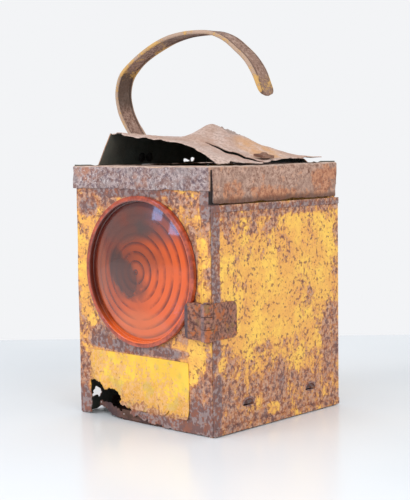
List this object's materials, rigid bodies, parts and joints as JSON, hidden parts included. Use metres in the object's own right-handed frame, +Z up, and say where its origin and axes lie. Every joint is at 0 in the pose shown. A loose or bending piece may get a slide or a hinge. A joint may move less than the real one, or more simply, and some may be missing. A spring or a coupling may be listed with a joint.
{
  "type": "road hazard lamp",
  "caption": "Portable battery road hazard lamp: square sheet-steel case, round stepped orange lens, hinged vented side, capped torn roof and a broken strap handle; rusted yellow paint.",
  "frame": {"origin": "centre of the case's underside, where it stands", "axes": "+Z up, -Y out of the lens, +X out of the hinged side"},
  "size_m": [0.1754, 0.1834, 0.3352],
  "materials": {
    "case_paint": "satin",
    "cap_paint": "matte",
    "roof_rust": "matte",
    "strap_paint": "matte",
    "hinge_rust": "matte",
    "label_paint": "satin",
    "rivet_steel": "matte",
    "lens_plastic": "gloss",
    "gasket_rubber": "matte",
    "plated_steel": "satin",
    "reflector_metal": "polished",
    "bulb_glass": "gloss",
    "brass": "satin",
    "battery_wrap": "matte",
    "bakelite": "gloss"
  },
  "bodies": {
    "case": {"front_panel": "case_paint", "left_side_panel": "case_paint", "back_panel": "case_paint", "floor_pan": "hinge_rust", "lid_cap": "cap_paint", "roof_sheet": "roof_rust", "roof_left_wall": "roof_rust", "roof_back_wall": "roof_rust", "label_plate": "label_paint", "lens": "lens_plastic", "lens_gasket": "gasket_rubber", "lens_retaining_ring": "plated_steel", "reflector_clips": "plated_steel", "reflector": "reflector_metal", "bulb_holder": "brass", "bulb_cap": "brass", "bulb_glass": "bulb_glass", "bulb_bracket": "plated_steel", "battery_case": "battery_wrap", "battery_terminals": "brass", "contact_strips": "brass", "partition_plate": "plated_steel", "switch_body": "bakelite", "hinge_fixed_leaf": "hinge_rust", "hinge_pin": "rivet_steel", "hinge_packing": "hinge_rust", "catch_rivet": "rivet_steel", "handle_strap": "strap_paint", "handle_rivets": "rivet_steel", "handle_lug": "strap_paint", "lug_rivet": "rivet_steel"},
    "door": {"door_panel": "case_paint", "hinge_door_leaf": "hinge_rust"},
    "catch": {"turn_catch": "hinge_rust"},
    "lever": {"switch_lever": "plated_steel"}
  },
  "joints": [
    {"name": "door_swing", "type": "hinge", "parent": "case", "child": "door", "pos_m": [0.0794, -0.0892, 0.09125], "axis": [0, 0, -1], "range_deg": [0, 110]},
    {"name": "catch_turn", "type": "hinge", "parent": "case", "child": "catch", "pos_m": [0.058, 0.08645, 0.11], "axis": [0, 1, 0], "range_deg": [0, 90]},
    {"name": "switch_tilt", "type": "hinge", "parent": "case", "child": "lever", "pos_m": [0.058, -0.01125, 0.118], "axis": [1, 0, 0], "range_deg": [-15, 15]}
  ]
}
